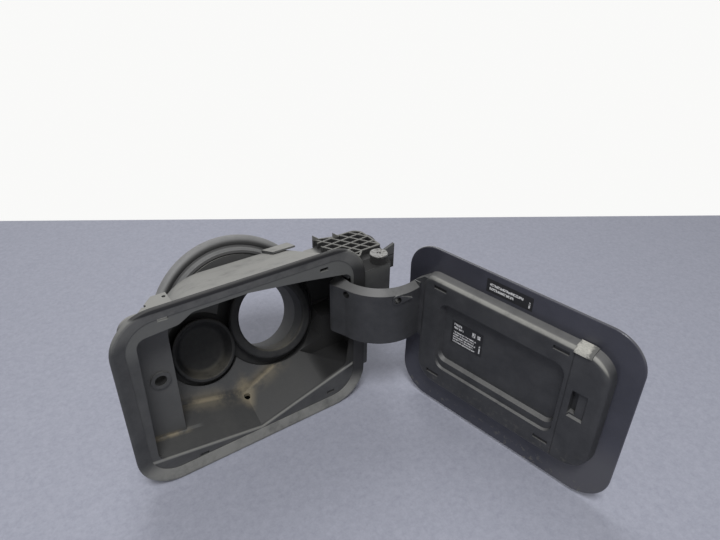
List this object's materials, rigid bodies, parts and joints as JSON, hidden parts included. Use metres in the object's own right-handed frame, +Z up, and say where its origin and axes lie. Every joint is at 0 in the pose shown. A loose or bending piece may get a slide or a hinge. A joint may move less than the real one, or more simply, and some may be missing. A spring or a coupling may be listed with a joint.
{
  "type": "car fuel door",
  "caption": "Moulded filler pot with a soft mouth lip, filler collar and rear body seal, and a painted door on a gooseneck hinge, standing open.",
  "frame": {"origin": "centre of the mouth lip's front plane", "axes": "+X towards the hinge side, +Y into the car, +Z up"},
  "size_m": [0.2616, 0.2915, 0.15],
  "materials": {
    "pot_plastic": "satin",
    "soft_lip": "matte",
    "soft_insert": "matte",
    "seal_rubber": "matte",
    "pin_steel": "satin",
    "carrier_plastic": "satin",
    "paint": "gloss",
    "buffer_foam": "matte"
  },
  "bodies": {
    "housing": {"filler_pot": "pot_plastic", "mouth_seal": "soft_lip", "port_insert": "soft_insert", "body_seal": "seal_rubber", "hinge_pin": "pin_steel", "opening_spring": "pin_steel"},
    "door": {"door_carrier": "carrier_plastic", "door_panel": "paint", "corner_buffer": "buffer_foam"}
  },
  "joints": [
    {"name": "door_hinge", "type": "hinge", "parent": "housing", "child": "door", "pos_m": [0.1146, 0.0104, 0], "axis": [0, 0, 1], "range_deg": [-100, 0]}
  ]
}
